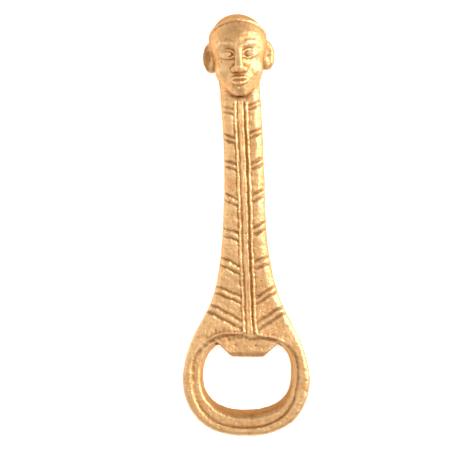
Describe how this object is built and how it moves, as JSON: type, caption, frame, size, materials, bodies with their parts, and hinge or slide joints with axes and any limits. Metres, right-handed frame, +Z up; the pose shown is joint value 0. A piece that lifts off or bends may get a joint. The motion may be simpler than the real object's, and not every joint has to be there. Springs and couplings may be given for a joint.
{
  "type": "bottle opener",
  "caption": "Cast brass bottle opener: flat tapered handle with chevron ribs and a raised spine, a stylised head at one end and a cap-lifting loop at the other.",
  "frame": {"origin": "on the table plane under the middle of the opener's length and width, as it lies on its back", "axes": "+Y along the handle towards the head, +Z up out of the decorated face, +X across to the right when seen from above with the head at the top"},
  "size_m": [0.0456, 0.152, 0.0223],
  "materials": {
    "brass": "sand cast, tumble polished, worn bright on raised edges and darker in the grooves"
  },
  "bodies": {
    "root": {"loop": "brass", "cap_lip": "brass", "shank": "brass", "spine_bead_left": "brass", "spine_core": "brass", "spine_bead_right": "brass", "recess_bead_left": "brass", "recess_bead_right": "brass", "rib_left_1": "brass", "rib_left_2": "brass", "rib_left_3": "brass", "rib_left_4": "brass", "rib_left_5": "brass", "rib_left_6": "brass", "rib_left_7": "brass", "rib_left_8": "brass", "rib_right_1": "brass", "rib_right_2": "brass", "rib_right_3": "brass", "rib_right_4": "brass", "rib_right_5": "brass", "rib_right_6": "brass", "rib_right_7": "brass", "rib_right_8": "brass", "head": "brass", "hair_cap": "brass", "brow": "brass", "nose": "brass", "lips": "brass", "eye_left": "brass", "eye_right": "brass", "ear_left": "brass", "ear_right": "brass"}
  },
  "joints": []
}
